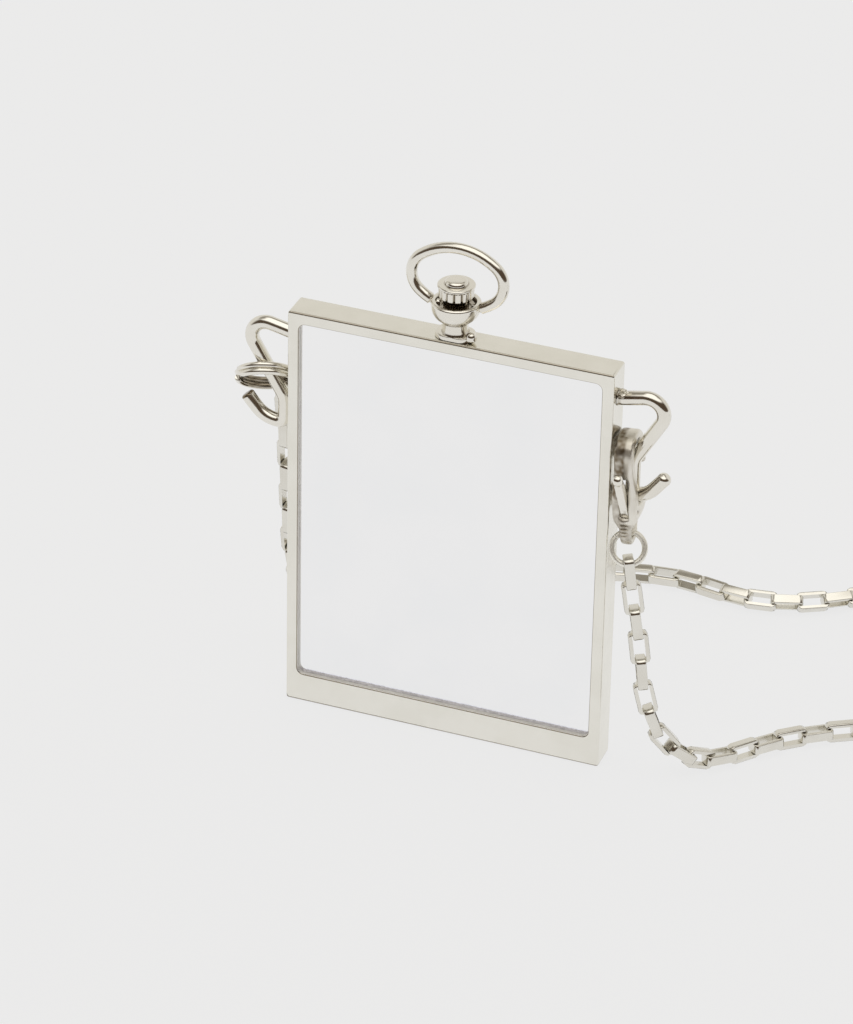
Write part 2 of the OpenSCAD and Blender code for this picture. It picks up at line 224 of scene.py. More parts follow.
def plated(name, tone, worn, gloss, ripple, grain, stretch=(1, 1, 1)):
    """Plated metal: two near tones, a range of roughness, soft ripples and fine grain."""
    metal = bpy.data.materials.new(name)
    metal.use_nodes = True
    tree = metal.node_tree
    shader = tree.nodes["Principled BSDF"]
    shader.inputs["Metallic"].default_value = 1
    place = shader_node(tree, "ShaderNodeTexCoord")
    cloud = noise(tree, place, 260, 3)
    colour = ramp(tree, [(0.35, worn), (0.65, tone)])
    polish = noise(tree, place, 700, 4)
    rough = shader_node(tree, "ShaderNodeMapRange")
    rough.inputs["From Min"].default_value = 0.3
    rough.inputs["From Max"].default_value = 0.7
    rough.inputs["To Min"].default_value = gloss[0]
    rough.inputs["To Max"].default_value = gloss[1]
    # Brown from the mesh's attribute: painted shade and painted dark reflection, with some real
    # patina.
    patina_shade_fac = shader_node(tree, "ShaderNodeAttribute", attribute_name="tarnish_and_shade")
    patina_shaded_colour = shader_node(tree, "ShaderNodeMix", data_type="RGBA")
    patina_shaded_colour.inputs[7].default_value = (*BROWN, 1)
    waves = noise(tree, place, 900, 1)
    lines = noise(tree, place, 9000, 2, stretch)
    swell = shader_node(tree, "ShaderNodeBump", Strength=ripple, Distance=0.02 * MM)
    brush = shader_node(tree, "ShaderNodeBump", Strength=grain, Distance=0.004 * MM)
    for a, b in [(cloud.outputs[0], colour.inputs[0]),
                 (patina_shade_fac.outputs["Fac"], patina_shaded_colour.inputs[0]),
                 (colour.outputs["Color"], patina_shaded_colour.inputs[6]),
                 (patina_shaded_colour.outputs[2], shader.inputs["Base Color"]),
                 (polish.outputs[0], rough.inputs["Value"]),
                 (rough.outputs["Result"], shader.inputs["Roughness"]),
                 (waves.outputs[0], swell.inputs["Height"]),
                 (lines.outputs[0], brush.inputs["Height"]),
                 (swell.outputs["Normal"], brush.inputs["Normal"]),
                 (brush.outputs["Normal"], shader.inputs["Normal"])]:
        tree.links.new(a, b)
    return metal


satin = plated("satin plating", (0.87, 0.85, 0.785), (0.84, 0.82, 0.75), (0.14, 0.20),
               0.20, 0.30, stretch=(1, 1, 0.06))
bright = plated("bright plating", (0.855, 0.83, 0.765), (0.82, 0.79, 0.72), (0.09, 0.17),
                0.35, 0.25)
chain_plating = plated("chain plating", (0.80, 0.78, 0.72), (0.76, 0.735, 0.67),
                       (0.13, 0.22), 0.35, 0.3)
clasp_plating = plated("clasp plating", (0.84, 0.81, 0.74), (0.72, 0.68, 0.60),
                       (0.34, 0.46), 0.8, 0.6)
ring_plating = plated("ring plating", (0.95, 0.93, 0.86), (0.90, 0.875, 0.80),
                      (0.44, 0.54), 0.35, 0.3)
blasted = plated("blasted wall", (0.98, 0.97, 0.93), (0.92, 0.905, 0.87), (0.55, 0.65), 0.5, 0.8)
blasted.node_tree.nodes["Principled BSDF"].inputs["Metallic"].default_value = 0.25
print("platings:", [m.name for m in (satin, bright, chain_plating, clasp_plating,
                                     ring_plating, blasted)])

# %% [markdown]
# ## Working on a copy of a solid
# A solid comes as loose triangles. A copy of it is joined at its doubled points, and the
# triangles of each flat face are dissolved into one face, so that there are real edges
# to select. Edges are selected in code, by where their ends are.

# %% Helpers for selecting
def only(piece):
    """Selects one piece alone, so that an operator works on nothing else."""
    bpy.ops.object.select_all(action="DESELECT")
    piece.select_set(True)
    bpy.context.view_layer.objects.active = piece


def joined_copy(solid, name, flat=0.5):
    """A copy of a solid with its points joined and its flat faces made whole."""
    piece = bpy.data.objects.new(name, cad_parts[solid].data.copy())
    bpy.context.scene.collection.objects.link(piece)
    piece.data.materials.clear()
    only(piece)
    bpy.ops.object.mode_set(mode="EDIT")
    bpy.ops.mesh.select_all(action="SELECT")
    bpy.ops.mesh.remove_doubles(threshold=1e-6)
    bpy.ops.mesh.dissolve_limited(angle_limit=math.radians(flat))
    bpy.ops.object.mode_set(mode="OBJECT")
    return piece


def pick_edges(piece, wanted):
    """Selects the edges whose two ends, in mm, pass the test, and opens edit mode."""
    only(piece)
    bpy.ops.object.mode_set(mode="EDIT")
    bpy.ops.mesh.select_mode(type="EDGE")
    bpy.ops.mesh.select_all(action="DESELECT")
    bpy.ops.object.mode_set(mode="OBJECT")
    spots = [v.co / MM for v in piece.data.vertices]
    for edge in piece.data.edges:
        edge.select = wanted(*(spots[i] for i in edge.vertices))
    bpy.ops.object.mode_set(mode="EDIT")


def pick_points(piece, wanted):
    """Selects the points whose place, in mm, passes the test, and opens edit mode."""
    only(piece)
    bpy.ops.object.mode_set(mode="EDIT")
    bpy.ops.mesh.select_mode(type="VERT")
    bpy.ops.mesh.select_all(action="DESELECT")
    bpy.ops.object.mode_set(mode="OBJECT")
    for point in piece.data.vertices:
        point.select = wanted(point.co / MM)
    bpy.ops.object.mode_set(mode="EDIT")


def soften(piece, offset, segments):
    """Bevels the selected edges and leaves edit mode."""
    bpy.ops.mesh.bevel(offset=offset * MM, segments=segments, profile=0.5,
                       clamp_overlap=True)
    bpy.ops.object.mode_set(mode="OBJECT")


def tarnish_and_shade(piece, brown):
    """Keeps how brown each point is, from 0 to 1, by its place in mm and its normal: patina and
    painted shade.
    """
    patina_shade_fac = piece.data.attributes.new("tarnish_and_shade", "FLOAT", "POINT")
    for point, mark in zip(piece.data.vertices, patina_shade_fac.data):
        mark.value = min(1, max(0, brown(point.co / MM, point.normal)))


def finish_metal(piece, metal, body, replaced=(), angle=32):
    """Shades a piece, keeps its flat faces flat, and gives it its metal and its body."""
    only(piece)
    bpy.ops.object.shade_smooth_by_angle(angle=math.radians(angle))
    bpy.ops.object.modifier_add(type="WEIGHTED_NORMAL")
    bpy.context.object.modifiers[-1].keep_sharp = True
    bpy.ops.object.modifier_apply(modifier=bpy.context.object.modifiers[-1].name)
    piece.data.materials.clear()
    piece.data.materials.append(metal)
    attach(piece, body)
    if replaced:
        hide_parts(*replaced)
    print(piece.name, len(piece.data.polygons), "faces")


# %% [markdown]
# ## The case
# The case is cast flat and then tumbled, so its outer edges are round and the edge of the
# opening stays fairly crisp. The front edge matters most: its round shows the lamp as a
# bright line, and the dark room as a dark line just below it. It gets a round of about a
# quarter of a millimetre, the back edge a little more, and the opening's edge only a
# tenth. The walls of the opening are matt and pale, since no polishing wheel reaches
# them. Brown is painted in for light and shade: painted shade in the opening's bevelled
# edge, a painted dark reflection along the top front edge, and a painted contact shadow
# along the bottom front edge.

# %% Round the case's edges
FRONT_ROUND, BACK_ROUND, OPENING_ROUND = 0.24, 0.3, 0.09
case_low, case_high = (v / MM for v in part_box("case"))
mirror_low, mirror_high = (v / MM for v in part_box("mirror"))
case = joined_copy("case", "case_metal")


def in_opening(p):
    """True for a point on the opening's outline."""
    return (mirror_low.x - 0.2 < p.x < mirror_high.x + 0.2
            and mirror_low.z - 0.2 < p.z < mirror_high.z + 0.2)


def at_y(y):
    """A test for points in the plane y."""
    return lambda p: abs(p.y - y) < 0.01


front_at, back_at = at_y(case_low.y), at_y(case_high.y)
pick_edges(case, lambda a, b: front_at(a) and front_at(b)
           and not in_opening(a) and not in_opening(b))
soften(case, FRONT_ROUND, 5)
pick_edges(case, lambda a, b: back_at(a) and back_at(b))
soften(case, BACK_ROUND, 4)
pick_edges(case, lambda a, b: front_at(a) and front_at(b) and in_opening(a) and in_opening(b))
soften(case, OPENING_ROUND, 3)
finish_metal(case, satin, "root", ["case"])


def case_painted_shade(p, n):
    """Painted shade in the opening's bevelled edge, a painted dark reflection along the top
    front edge and a painted contact shadow along the bottom front edge.
    """
    if in_opening(p):
        return case_low.y + 0.005 < p.y < case_low.y + 0.06
    if p.z > case_high.z - 0.2:
        return 0.8 * (case_low.y + 0.03 < p.y < case_low.y + 0.12)
    return 0.9 * (p.z < case_low.z + 0.21 and p.y < case_low.y + 0.35)


tarnish_and_shade(case, case_painted_shade)
case.data.materials.append(blasted)
for face in case.data.polygons:
    spot = face.center / MM
    wall = in_opening(spot) and abs(face.normal.y) < 0.1
    face.material_index = int(wall and case_low.y + 0.1 < spot.y < case_high.y - 0.5)
print("blasted faces:", sum(face.material_index for face in case.data.polygons))

# %% [markdown]
# ## The mirror
# The glass fills the recess but for a hairline joint, so the copy of the solid is made a
# little wider. Its edge is ground, which shows as a fine line. The silver is behind the
# glass, but for a plate this thin one polished surface looks the same, and it is simpler:
# a metal with almost no roughness, a trace of unevenness, and a slightly cool tone. Along
# the bottom the silver has gone grey and spotted in a strip half a millimetre high.

# %% Grind the mirror's edge and silver it
WIDER = 0.08
mirror = joined_copy("mirror", "mirror_pane")
glass_front = at_y(mirror_low.y)
pick_edges(mirror, lambda a, b: glass_front(a) and glass_front(b))
soften(mirror, 0.04, 2)
bpy.ops.object.mode_set(mode="EDIT")
bpy.ops.mesh.select_all(action="SELECT")
wide, tall = mirror_high.x - mirror_low.x, mirror_high.z - mirror_low.z
bpy.ops.transform.resize(value=((wide + WIDER) / wide, 1, (tall + WIDER) / tall),
                         center_override=(mirror_low + mirror_high) / 2 * MM)
bpy.ops.object.mode_set(mode="OBJECT")
silvered = bpy.data.materials.new("silvered glass")
silvered.use_nodes = True
tree = silvered.node_tree
shader = tree.nodes["Principled BSDF"]
shader.inputs["Metallic"].default_value = 1
place = shader_node(tree, "ShaderNodeTexCoord")
haze = noise(tree, place, 90, 2)
tint = ramp(tree, [(0.3, (0.965, 0.97, 0.98)), (0.7, (0.985, 0.985, 0.99))])
height = shader_node(tree, "ShaderNodeSeparateXYZ")
strip = shader_node(tree, "ShaderNodeMapRange", interpolation_type="SMOOTHSTEP")
strip.inputs["From Min"].default_value = (mirror_low.z + 0.35) * MM
strip.inputs["From Max"].default_value = (mirror_low.z + 0.55) * MM
strip.inputs["To Min"].default_value = 1
strip.inputs["To Max"].default_value = 0
specks = noise(tree, place, 2600, 3)
spotted = ramp(tree, [(0.35, (0.74, 0.74, 0.80)), (0.65, (0.90, 0.90, 0.97))])
edged = shader_node(tree, "ShaderNodeMix", data_type="RGBA")
clean = shader_node(tree, "ShaderNodeMapRange")
clean.inputs["To Min"].default_value = 0.01
clean.inputs["To Max"].default_value = 0.03
for a, b in [(haze.outputs[0], tint.inputs[0]),
             (place.outputs["Object"], height.inputs[0]),
             (height.outputs["Z"], strip.inputs["Value"]),
             (specks.outputs[0], spotted.inputs[0]),
             (strip.outputs["Result"], edged.inputs[0]),
             (tint.outputs["Color"], edged.inputs[6]),
             (spotted.outputs["Color"], edged.inputs[7]),
             (edged.outputs[2], shader.inputs["Base Color"]),
             (haze.outputs[0], clean.inputs["Value"]),
             (clean.outputs["Result"], shader.inputs["Roughness"])]:
    tree.links.new(a, b)
finish_metal(mirror, silvered, "root", ["mirror"])

# %% [markdown]
# ## Turned parts
# The neck, the bowl and the crown are turned on a lathe, so they can be drawn as a lathe
# works: start with a circle, then raise it and change its radius ring by ring. Each row
# below is (radius, height) in mm above the case. Extrude raises the last ring, and resize
# gives it the next radius.

# %% A helper that turns a profile
def turned(name, rows, base, sides=64):
    """A round part drawn up from (radius, height) rows over the point base, in mm."""
    bpy.ops.object.select_all(action="DESELECT")
    centre = Vector(base) * MM
    radius, level = rows[0]
    bpy.ops.mesh.primitive_circle_add(vertices=sides, radius=radius * MM,
                                      location=centre + Vector((0, 0, level * MM)))
    piece = bpy.context.object
    piece.name = piece.data.name = name
    bpy.ops.object.transform_apply(location=True, rotation=True, scale=True)
    bpy.ops.object.mode_set(mode="EDIT")
    bpy.ops.mesh.select_all(action="SELECT")
    for new_radius, new_level in rows[1:]:
        rise = (0, 0, (new_level - level) * MM)
        bpy.ops.mesh.extrude_region_move(TRANSFORM_OT_translate={"value": rise})
        grow = new_radius / radius
        bpy.ops.transform.resize(value=(grow, grow, 1), center_override=centre)
        radius, level = new_radius, new_level
    bpy.ops.mesh.select_all(action="SELECT")
    bpy.ops.mesh.fill_holes(sides=0)
    bpy.ops.mesh.normals_make_consistent(inside=False)
    bpy.ops.object.mode_set(mode="OBJECT")
    return piece


TOP = case_high.z
BOWL = [(1.5 + 1.25 * math.sin(math.radians(a)), 4.0 - 1.88 * math.cos(math.radians(a)))
        for a in range(0, 91, 9)]
neck_rows = [(1.56, 0.45), (1.53, 0.62), (1.46, 0.72), (1.43, 0.9), (1.42, 1.3), (1.42, 1.7),
             (1.44, 1.85), (1.52, 1.95), (1.6, 2.03), (1.58, 2.12)] + BOWL[1:] + [
             (2.75, 4.14), (2.72, 4.24), (2.64, 4.32), (2.53, 4.37), (2.4, 4.38),
             (2.28, 4.34), (2.2, 4.24), (2.16, 4.1), (2.08, 3.75), (1.8, 3.5),
             (1.2, 3.42), (0.55, 3.4)]
neck = turned("neck_turned", neck_rows, (0, 0, TOP))
print("neck rings:", len(neck_rows))

# %% [markdown]
# ## The foot, its solder and the stem
# Below the neck is a small rounded plate, soldered to the case's top. A bead of solder
# has run out beside it on the right. The plate is a cube with its upright edges rounded
# first and its top edge after that. The bead is a small ball, pulled wide at its foot so
# that it wets the plate like a drop.

# %% Add the foot and the bead of solder
FOOT_SIZE = Vector((4.4, 3.1, 0.55))
FOOT_MID = Vector((0, 0, TOP + 0.325))
BEAD_MID = Vector((2.1, -0.8, TOP + 0.66))
BEAD_R = 0.6
STEM_R, STEM_LENGTH = 0.5, 1.3
STEM_MID = Vector((0, 0, TOP - 0.35))
bpy.ops.object.select_all(action="DESELECT")
bpy.ops.mesh.primitive_cube_add(size=1, location=FOOT_MID * MM, scale=FOOT_SIZE * MM)
foot = bpy.context.object
foot.name = "foot"
bpy.ops.object.transform_apply(location=True, rotation=True, scale=True)
pick_edges(foot, lambda a, b: abs(a.z - b.z) > 0.3)
soften(foot, 1.4, 8)
pick_edges(foot, lambda a, b: a.z > TOP + 0.5 and b.z > TOP + 0.5)
soften(foot, 0.16, 4)

bpy.ops.object.select_all(action="DESELECT")
bpy.ops.mesh.primitive_uv_sphere_add(segments=24, ring_count=14, radius=BEAD_R * MM,
                                     location=BEAD_MID * MM)
bead = bpy.context.object
bead.name = "bead"
bpy.ops.object.transform_apply(location=True, rotation=True, scale=True)
pick_points(bead, lambda p: p.z < TOP + 0.4)
bpy.ops.transform.resize(value=(1.15, 1.15, 1), center_override=BEAD_MID * MM)
bpy.ops.object.mode_set(mode="OBJECT")

bpy.ops.object.select_all(action="DESELECT")
bpy.ops.mesh.primitive_cylinder_add(vertices=32, radius=STEM_R * MM,
                                    depth=STEM_LENGTH * MM, location=STEM_MID * MM)
stem = bpy.context.object
stem.name = "stem"
bpy.ops.object.transform_apply(location=True, rotation=True, scale=True)
pick_edges(stem, lambda a, b: a.z < TOP - 0.9 and b.z < TOP - 0.9)
soften(stem, 0.1, 2)

for part in (neck, foot, bead, stem):
    part.select_set(True)
bpy.context.view_layer.objects.active = neck
bpy.ops.object.join()
finish_metal(neck, bright, "root", ["neck"])


def neck_painted_shade(p, n):
    """Painted shade inside the bowl, in the crease over the foot, and under the bowl."""
    out, up = math.hypot(p.x, p.y), p.z - TOP
    if up > 3.3 and out < 2.25:
        return 0.6
    if 0.58 < up < 0.8 and out < 1.65:
        return 0.5
    return 0.4 if 1.8 < up < 2.1 and out < 1.65 else 0


tarnish_and_shade(neck, neck_painted_shade)

# %% [markdown]
# ## The crown
# A watch crown has deep flutes for the fingers, between a cap and a hub. Here the crown
# is turned first, with six points round each flute. Then one point in six is pulled in
# towards the axis, over the height of the flutes only, so that wide flat pads stay
# between narrow grooves.

# %% Turn the crown and cut its flutes
FLUTES = 14
crown_rows = [(0.5, 3.1), (0.5, 3.5), (1.3, 3.5), (1.4, 3.6), (1.45, 4.8), (1.66, 4.84),
              (1.86, 4.9), (1.93, 4.98), (1.95, 5.1), (1.95, 5.9), (1.93, 6.0),
              (1.87, 6.07), (1.9, 6.1), (2.04, 6.13), (2.08, 6.18), (2.08, 6.26),
              (2.05, 6.33), (1.97, 6.38), (1.42, 6.4), (1.32, 6.42), (1.28, 6.48),
              (1.27, 6.6), (1.2, 6.74), (1.1, 6.84), (1.0, 6.89), (0.93, 6.9), (0.6, 6.93),
              (0.25, 6.94)]
crown = turned("crown_fluted", crown_rows, (0, 0, TOP), sides=6 * FLUTES)


def in_flute(step, low, high):
    """A test for points of the crown's wall at the given step of each flute."""
    def test(p):
        place = math.atan2(p.y, p.x) / (2 * math.pi) * 6 * FLUTES
        off = round(place) % 6
        return low < p.z - TOP < high and math.hypot(p.x, p.y) > 1.8 and off in step
    return test


crown_axis = (0, 0, TOP * MM)
pick_points(crown, in_flute((0,), 4.87, 6.05))
bpy.ops.transform.resize(value=(0.87, 0.87, 1), center_override=crown_axis)
bpy.ops.object.mode_set(mode="OBJECT")
pick_points(crown, in_flute((1, 5), 4.87, 6.05))
bpy.ops.transform.resize(value=(0.985, 0.985, 1), center_override=crown_axis)
bpy.ops.object.mode_set(mode="OBJECT")
finish_metal(crown, bright, "root", ["crown"], angle=28)


def crown_patina_and_shade(p, n):
    """Patina with painted shade and painted dark reflection on the hub, in the flutes, under the
    cap and round the button's foot.
    """
    out, up = math.hypot(p.x, p.y), p.z - TOP
    if up < 4.95:
        return 0.7
    if up < 6.12:
        return 0.7 if out < 1.8 or (up > 6.02 and out < 1.92) else 0
    return 0.5 if 6.38 < up < 6.5 and out < 1.36 else 0


tarnish_and_shade(crown, crown_patina_and_shade)

# %% [markdown]
# ## Bent wires
# The bow, the hooks and the rings are round wire. A wire is drawn from a circle: extrude
# makes a straight leg, and spin sweeps the circle round the centre of a bend. Spin with
# a negative angle turns the way that a right hand curls round its axis.

# %% A helper that bends a wire
def start_wire(name, at, ahead, diameter, sides=24):
    """A circle at a point, facing ahead, open for editing and selected."""
    bpy.ops.object.select_all(action="DESELECT")
    turn = Vector(ahead).to_track_quat("Z", "Y").to_euler()
    bpy.ops.mesh.primitive_circle_add(vertices=sides, radius=diameter / 2 * MM,
                                      location=Vector(at) * MM, rotation=turn)
    piece = bpy.context.object
    piece.name = piece.data.name = name
    bpy.ops.object.transform_apply(location=True, rotation=True, scale=True)
    bpy.ops.object.mode_set(mode="EDIT")
    bpy.ops.mesh.select_all(action="SELECT")
    return piece


def leg(step):
    """Extrudes the wire's end by a step in mm."""
    bpy.ops.mesh.extrude_region_move(
        TRANSFORM_OT_translate={"value": Vector(step) * MM})


def bend(centre, axis, angle):
    """Sweeps the wire's end round a centre in mm by an angle in radians."""
    bpy.ops.mesh.spin(steps=max(2, round(math.degrees(angle) / 6)), angle=-angle,
                      center=Vector(centre) * MM, axis=axis)


def end_wire(piece, rounding, segments=4):
    """Closes the wire's two ends with flat faces and rounds their edges."""
    bpy.ops.mesh.select_all(action="SELECT")
    bpy.ops.mesh.fill_holes(sides=0)
    bpy.ops.mesh.normals_make_consistent(inside=False)
    bpy.ops.mesh.select_mode(type="FACE")
    bpy.ops.mesh.select_all(action="DESELECT")
    bpy.ops.object.mode_set(mode="OBJECT")
    for face in piece.data.polygons:
        face.select = len(face.vertices) > 4
    bpy.ops.object.mode_set(mode="EDIT")
    bpy.ops.mesh.region_to_loop()
    bpy.ops.mesh.bevel(offset=rounding * MM, segments=segments)
    bpy.ops.object.mode_set(mode="OBJECT")


def bent_wire(name, rows, flare, diameter):
    """A wire in the XZ plane through rows of (x, z, bend radius), thicker at its root."""
    points = [Vector((x, 0, z)) for x, z, _ in rows]
    here = points[0]
    ahead = (points[1] - here).normalized()
    piece = start_wire(name, here, ahead, diameter)
    thick = 1.0
    for distance, new_thick in flare:
        spot = points[0] + ahead * distance
        leg(spot - here)
        bpy.ops.transform.resize(value=(1, new_thick / thick, new_thick / thick),
                                 center_override=spot * MM)
        here, thick = spot, new_thick
    for i in range(1, len(rows) - 1):
        inward = (points[i] - here).normalized()
        outward = (points[i + 1] - points[i]).normalized()
        angle, radius = inward.angle(outward), rows[i][2]
        reach = radius * math.tan(angle / 2)
        stop = points[i] - inward * reach
        axis = inward.cross(outward).normalized()
        leg(stop - here)
        bend(stop + axis.cross(inward) * radius, axis, angle)
        here = points[i] + outward * reach
    leg(points[-1] - here)
    return piece


# %% [markdown]
# ## The hooks
# Each hook leaves the case near its top, loops down like a swan's neck, and turns up
# again at the bottom to hold a ring. It goes through the case's wall and is soldered
# there, so the wire swells a little where it meets the case. Each row of a hook is a
# corner of its path and the radius of its bend: (x from the case's side, z, radius). The
# right hook has a rougher joint, with drops of solder left on top of the wire: small
# balls, flattened, roughened and smoothed again. Its joint is brown below the top, as dark
# solder and as painted shade in the seams, and the wire has painted shade where it meets
# the case. The left hook's cut end is painted brown as a painted dark reflection.

# %% Bend the two hooks
SIDE = case_high.x
HOOK_WIRE = 1.55
ROOT = [(1.02, 1.0), (1.03, 1.2), (1.07, 1.19), (1.13, 1.1), (1.2, 1.02)]
right_rows = [(-1.0, 46.5, 0), (0.4, 46.5, 1.5), (7.0, 47.9, 1.85), (2.0, 39.3, 2.5),
              (2.0, 34.85, 0.85), (3.6, 35.05, 3.3), (5.9, 38.0, 0)]
left_rows = [(-1.0, 46.5, 0), (0.4, 46.5, 1.5), (6.8, 47.85, 1.85), (0.98, 38.1, 2.5),
             (1.0, 34.95, 0.85), (3.4, 35.05, 3.3), (5.55, 37.6, 0)]
hook_right = bent_wire("hook_right_wire", [(SIDE + x, z, r) for x, z, r in right_rows],
                       ROOT, HOOK_WIRE)
end_wire(hook_right, 0.62, 7)
hook_left = bent_wire("hook_left_wire", [(-SIDE - x, z, r) for x, z, r in left_rows],
                      ROOT, HOOK_WIRE)
end_wire(hook_left, 0.3, 5)

DROPS = [(19.25, -0.42, 46.98, 0.40, 1), (19.75, -0.12, 47.2, 0.34, 2),
         (20.35, 0.05, 47.32, 0.30, 3), (19.1, 0.2, 47.15, 0.42, 4)]
for x, y, z, size, seed in DROPS:
    bpy.ops.object.select_all(action="DESELECT")
    bpy.ops.mesh.primitive_ico_sphere_add(subdivisions=4, radius=size * MM,
                                          location=(x * MM, y * MM, z * MM))
    drop = bpy.context.object
    bpy.ops.object.transform_apply(location=True, rotation=True, scale=True)
    bpy.ops.object.mode_set(mode="EDIT")
    bpy.ops.mesh.select_all(action="SELECT")
    bpy.ops.transform.resize(value=(1.3, 1, 0.8), center_override=(x * MM, y * MM, z * MM))
    bpy.ops.transform.vertex_random(offset=0.12 * MM, uniform=0.6, seed=seed)
    bpy.ops.mesh.vertices_smooth(factor=0.5, repeat=4)
    bpy.ops.object.mode_set(mode="OBJECT")
    hook_right.select_set(True)
    bpy.context.view_layer.objects.active = hook_right
    bpy.ops.object.join()
finish_metal(hook_right, bright, "root", ["hook_right"])
finish_metal(hook_left, bright, "root", ["hook_left"])
bend_left, tip_left = (Vector((-SIDE - x, 0, z)) for x, z, _ in left_rows[-2:])
tip_ahead = (tip_left - bend_left).normalized()
# Right hook: dark solder with painted shade in its seams and below its top, and painted shade
# where the wire meets the case. Left hook: a painted dark reflection on the cut end.
tarnish_and_shade(hook_right, lambda p, n: 0.8 if p.x < SIDE + 1.8 and p.z > 46.9 and n.z < 0.75
        else 0.3 * (p.x < SIDE + 0.5))
tarnish_and_shade(hook_left, lambda p, n: (p - tip_left).length < 1
        and (p - tip_left).dot(tip_ahead) > -0.25)

# %% [markdown]
# ## The bow
# The bow is an oval of thicker wire whose two ends are turned down to thin pins, and the
# pins sit in the bowl. An oval can be drawn with four arcs, two tight ones at the sides
# and two wide ones above and below, so the wire is spun round each arc's centre in turn.
# It starts and ends as a thin pin, bends onto the lower arc inside the bowl's wall, and
# swells to its full thickness just outside the bowl.

# %% Bend the bow
PIVOT = Vector((0, 0, TOP + 3.7))
LEAN = math.radians(5.5)
HALF_W, HALF_H, MIDDLE, TIGHT, WIDE = 5.25, 3.5, 3.13, 2.6, 6.95
ROUND_Y = (0, 1, 0)
low_mid = Vector((0, 0, MIDDLE + WIDE - HALF_H))
high_mid = Vector((0, 0, MIDDLE - WIDE + HALF_H))
side_mid = Vector((HALF_W - TIGHT, 0, MIDDLE))
meet = math.atan2(HALF_W - TIGHT, WIDE - HALF_H)
enter, swell = math.asin(2.46 / WIDE), math.asin(2.8 / WIDE)
PIN_END, PIN_WIRE, BOW_WIRE = 1.75, 0.8, 1.25
pin_bend = 1.2
pin_stop = (WIDE - pin_bend) * math.sin(enter)
SHOULDER_UP = [(0.02, 0.98), (0.05, 1.15), (0.07, BOW_WIRE)]
SHOULDER_DOWN = [(0.07, 1.15), (0.05, 0.98), (0.02, PIN_WIRE)]


def thicken(rows, ahead, here, thick):
    """Draws the wire ahead in short steps, each with its own thickness."""
    for step, new_thick in rows:
        leg(ahead * step)
        here = here + ahead * step
        grow = new_thick / thick
        bpy.ops.transform.resize(value=(grow, grow, grow), center_override=here * MM)
        thick = new_thick


bow = start_wire("bow_wire", (-PIN_END, 0, 0), (-1, 0, 0), PIN_WIRE)
leg((PIN_END - pin_stop, 0, 0))
bend((-pin_stop, 0, pin_bend), ROUND_Y, enter)
bend(low_mid, ROUND_Y, swell - enter)
ahead = Vector((-math.cos(swell), 0, math.sin(swell)))
here = low_mid + Vector((-math.sin(swell), 0, -math.cos(swell))) * WIDE
thicken(SHOULDER_UP, ahead, here, PIN_WIRE)
used = sum(step for step, _ in SHOULDER_UP) / WIDE
bend(low_mid, ROUND_Y, meet - swell - used)
bend((-side_mid.x, 0, MIDDLE), ROUND_Y, math.pi - 2 * meet)
bend(high_mid, ROUND_Y, 2 * meet)
bend(side_mid, ROUND_Y, math.pi - 2 * meet)
bend(low_mid, ROUND_Y, meet - swell - used)
ahead = Vector((-math.cos(swell), 0, -math.sin(swell)))
here = low_mid + Vector((math.sin(swell + used), 0, -math.cos(swell + used))) * WIDE
thicken(SHOULDER_DOWN, ahead, here, BOW_WIRE)
bend(low_mid, ROUND_Y, swell - enter)
bend((pin_stop, 0, pin_bend), ROUND_Y, enter)
leg((PIN_END - pin_stop, 0, 0))
end_wire(bow, 0.08, 2)
bow.matrix_world = Matrix.Translation(PIVOT * MM) @ Matrix.Rotation(-LEAN, 4, "X")
only(bow)
bpy.ops.object.transform_apply(location=True, rotation=True, scale=True)
print("bow's wide arcs turn by", round(math.degrees(2 * meet)), "degrees")
finish_metal(bow, bright, "bow", ["bow"])

# %% [markdown]
# ## The split ring
# A split ring is one length of wire wound round twice, so that a hook can be worked in
# between the turns. Both turns lie flat against each other, except for a short stretch
# where the wire crosses from one level to the other. So the circle is spun round flat,
# stepped down in small spins, and spun round flat again. Its inner side, where the coils
# face each other, is painted brown as painted shade and painted reflection.

# %% Wind the split ring
SPLIT_R, SPLIT_WIRE, LEVEL = 3.03, 0.74, 0.36
SPLIT_MID = Vector((-22.3, 0.56, 39.93))
CROSS = 8
split_ring = start_wire("split_ring_coil", (SPLIT_R, 0, LEVEL), (0, 1, 0), SPLIT_WIRE, 20)
bend((0, 0, LEVEL), (0, 0, 1), math.radians(335))
for i in range(CROSS):
    drop = LEVEL * (math.cos(math.pi * i / CROSS) - math.cos(math.pi * (i + 1) / CROSS))
    bpy.ops.mesh.spin(steps=1, angle=-math.radians(50 / CROSS), center=(0, 0, 0),
                      axis=(0, 0, 1))
    bpy.ops.transform.translate(value=(0, 0, -drop * MM))
bend((0, 0, -LEVEL), (0, 0, 1), math.radians(320))
end_wire(split_ring, 0.06, 2)
split_ring.matrix_world = (Matrix.Translation(SPLIT_MID * MM)
                           @ Matrix.Rotation(math.radians(20.5), 4, "Z")
                           @ Matrix.Rotation(math.radians(-45.5), 4, "X")
                           @ Matrix.Rotation(math.radians(200), 4, "Z"))
only(split_ring)
bpy.ops.object.transform_apply(location=True, rotation=True, scale=True)
finish_metal(split_ring, bright, "root", ["split_ring"])
# Painted shade and painted reflection on the ring's inner side.
tarnish_and_shade(split_ring, lambda p, n: 0.75 * (0.2 - n.dot((p - SPLIT_MID).normalized())))

# %% [markdown]
# ## The jump ring
# A jump ring is a single turn of wire, cut straight through and pressed shut, so its two
# ends meet in a hairline joint. One spin of almost a full turn leaves that joint open by
# a twentieth of a millimetre.

